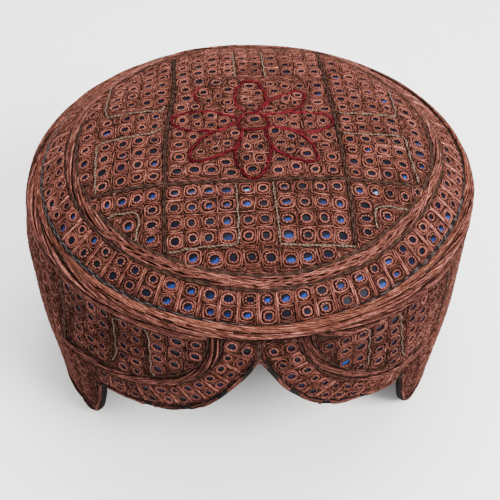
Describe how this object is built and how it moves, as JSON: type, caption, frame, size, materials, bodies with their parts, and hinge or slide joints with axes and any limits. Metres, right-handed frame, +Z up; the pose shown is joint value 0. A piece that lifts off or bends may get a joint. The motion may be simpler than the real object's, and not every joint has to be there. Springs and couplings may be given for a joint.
{
  "type": "embroidered round cap",
  "caption": "Round cloth cap with a domed crown and an arched front, covered in thread embroidery and small sewn-in mirrors, with corded seams and a bound hem.",
  "frame": {"origin": "middle of the cap's box on the plane that the hem rests on", "axes": "+Z up through the crown, +Y towards the back of the head, so the arched front faces -Y, and +X towards the wearer's left"},
  "size_m": [0.1991, 0.1952, 0.1209],
  "materials": {
    "embroidered_cloth": "dark cloth covered in copper-pink thread",
    "couched_cord": "strands of copper-pink thread laid side by side",
    "black_binding": "matte black cloth oversewn with thread",
    "sewn_mirror": "small dark mirror held by thread",
    "crimson_thread": "crimson stitched line"
  },
  "bodies": {
    "root": {"crown_panel": "embroidered_cloth", "crown_edge_cord": "couched_cord", "crown_ring_cord": "couched_cord", "side_band": "embroidered_cloth", "wall_top_cord": "couched_cord", "arch_cord_left": "couched_cord", "arch_cord_right": "couched_cord", "hem_binding": "black_binding"}
  },
  "joints": []
}
